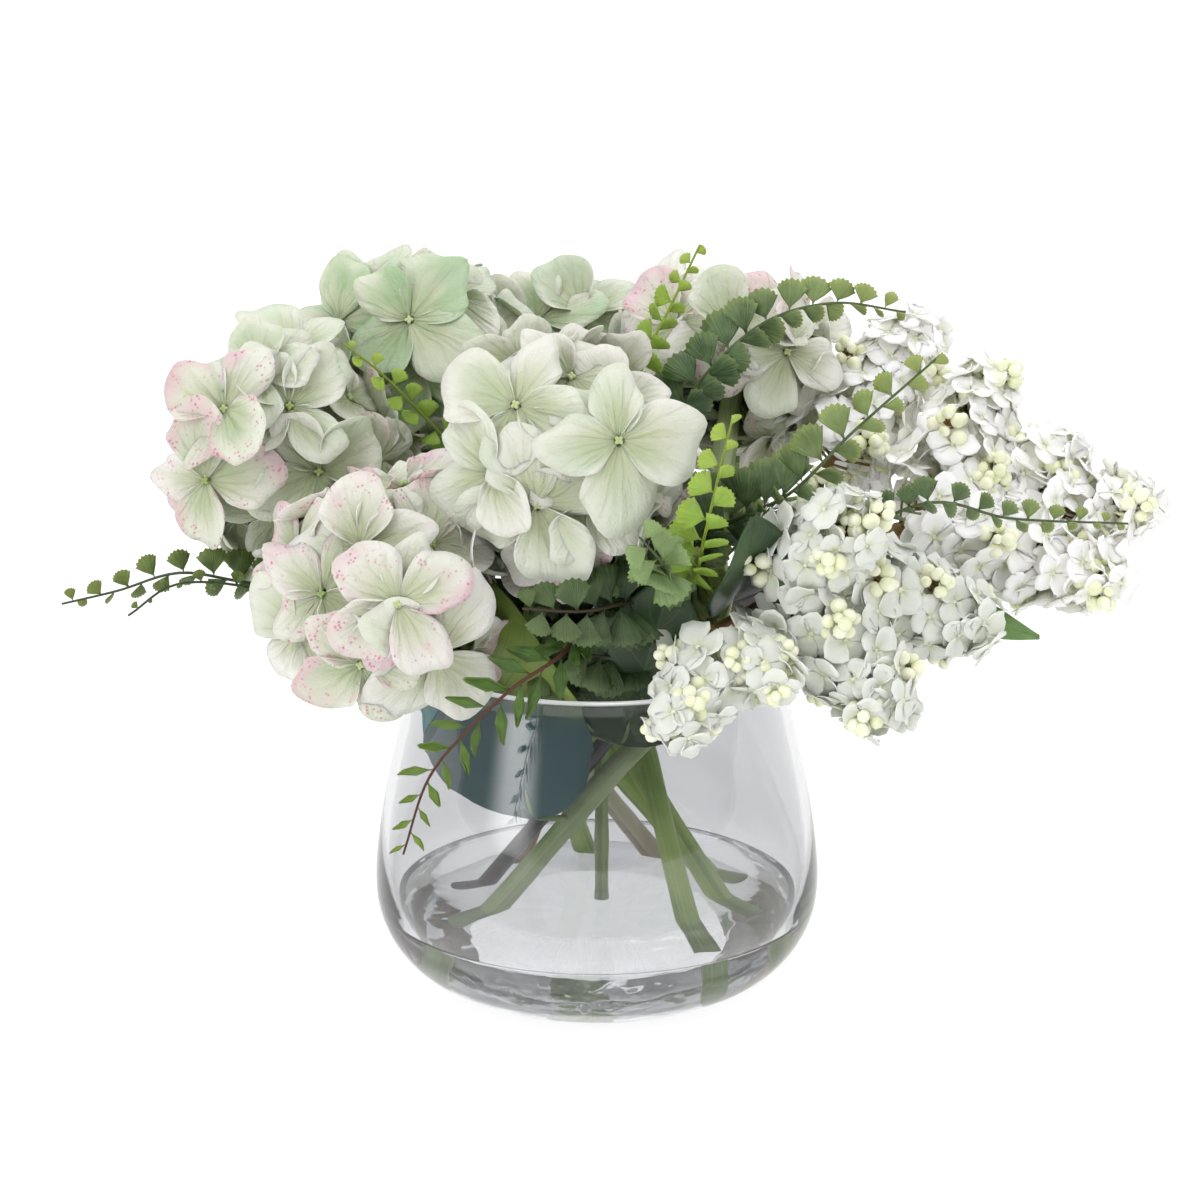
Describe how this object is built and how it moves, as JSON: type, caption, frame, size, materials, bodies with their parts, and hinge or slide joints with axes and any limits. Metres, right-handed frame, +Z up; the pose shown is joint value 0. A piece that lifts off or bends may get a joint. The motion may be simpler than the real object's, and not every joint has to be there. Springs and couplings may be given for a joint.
{
  "type": "floral table centerpiece",
  "caption": "Squat clear glass vase with set acrylic water that holds a low, spreading bunch of hydrangea heads, lilac panicles, fern fronds and leaves, to dress a table",
  "frame": {"origin": "middle of the vase's flat underside, on the table", "axes": "+Z up; +X to the right as the picture shows it, along the spray's longest reach; -Y towards the viewer"},
  "size_m": [0.4575, 0.279, 0.3165],
  "materials": {
    "glass": "clear, polished, thick base",
    "acrylic_water": "clear cast acrylic, glossy",
    "flower_stem": "satin",
    "woody_branch": "bark-like, matte",
    "white_petal": "matte off-white with pale green veins",
    "green_petal": "matte mint green",
    "lilac_petal": "matte white",
    "dark_fern": "satin dark green",
    "lime_fern": "satin lime green",
    "leaf_green": "matte green"
  },
  "bodies": {
    "root": {"fern_back_left_frond": "lime_fern", "fern_back_right_frond": "dark_fern", "fern_centre_left_frond": "dark_fern", "fern_centre_up_frond": "dark_fern", "fern_far_right_frond": "dark_fern", "fern_hanging_frond": "lime_fern", "fern_inner_left_frond": "dark_fern", "fern_left_frond": "dark_fern", "fern_left_low_frond": "lime_fern", "fern_lime_mid_frond": "lime_fern", "fern_lime_top_frond": "lime_fern", "fern_mid_right_frond": "dark_fern", "fern_stem": "leaf_green", "fern_top_right_frond": "dark_fern", "hydrangea_back_head": "green_petal", "hydrangea_back_stem": "flower_stem", "hydrangea_centre_head": "white_petal", "hydrangea_centre_stem": "flower_stem", "hydrangea_left_head": "white_petal", "hydrangea_left_stem": "flower_stem", "hydrangea_low_head": "white_petal", "hydrangea_low_stem": "flower_stem", "hydrangea_right_head": "white_petal", "hydrangea_right_stem": "flower_stem", "hydrangea_top_head": "green_petal", "hydrangea_top_stem": "flower_stem", "leaf_back": "leaf_green", "leaf_back_low": "leaf_green", "leaf_large": "leaf_green", "leaf_lilac": "leaf_green", "leaf_rim": "leaf_green", "leaf_shade": "leaf_green", "lilac_front_branch": "woody_branch", "lilac_front_panicle": "lilac_petal", "lilac_right_branch": "woody_branch", "lilac_right_panicle": "lilac_petal", "lilac_small_panicle": "lilac_petal", "lilac_upper_panicle": "lilac_petal", "vase": "glass", "water": "acrylic_water"}
  },
  "joints": []
}
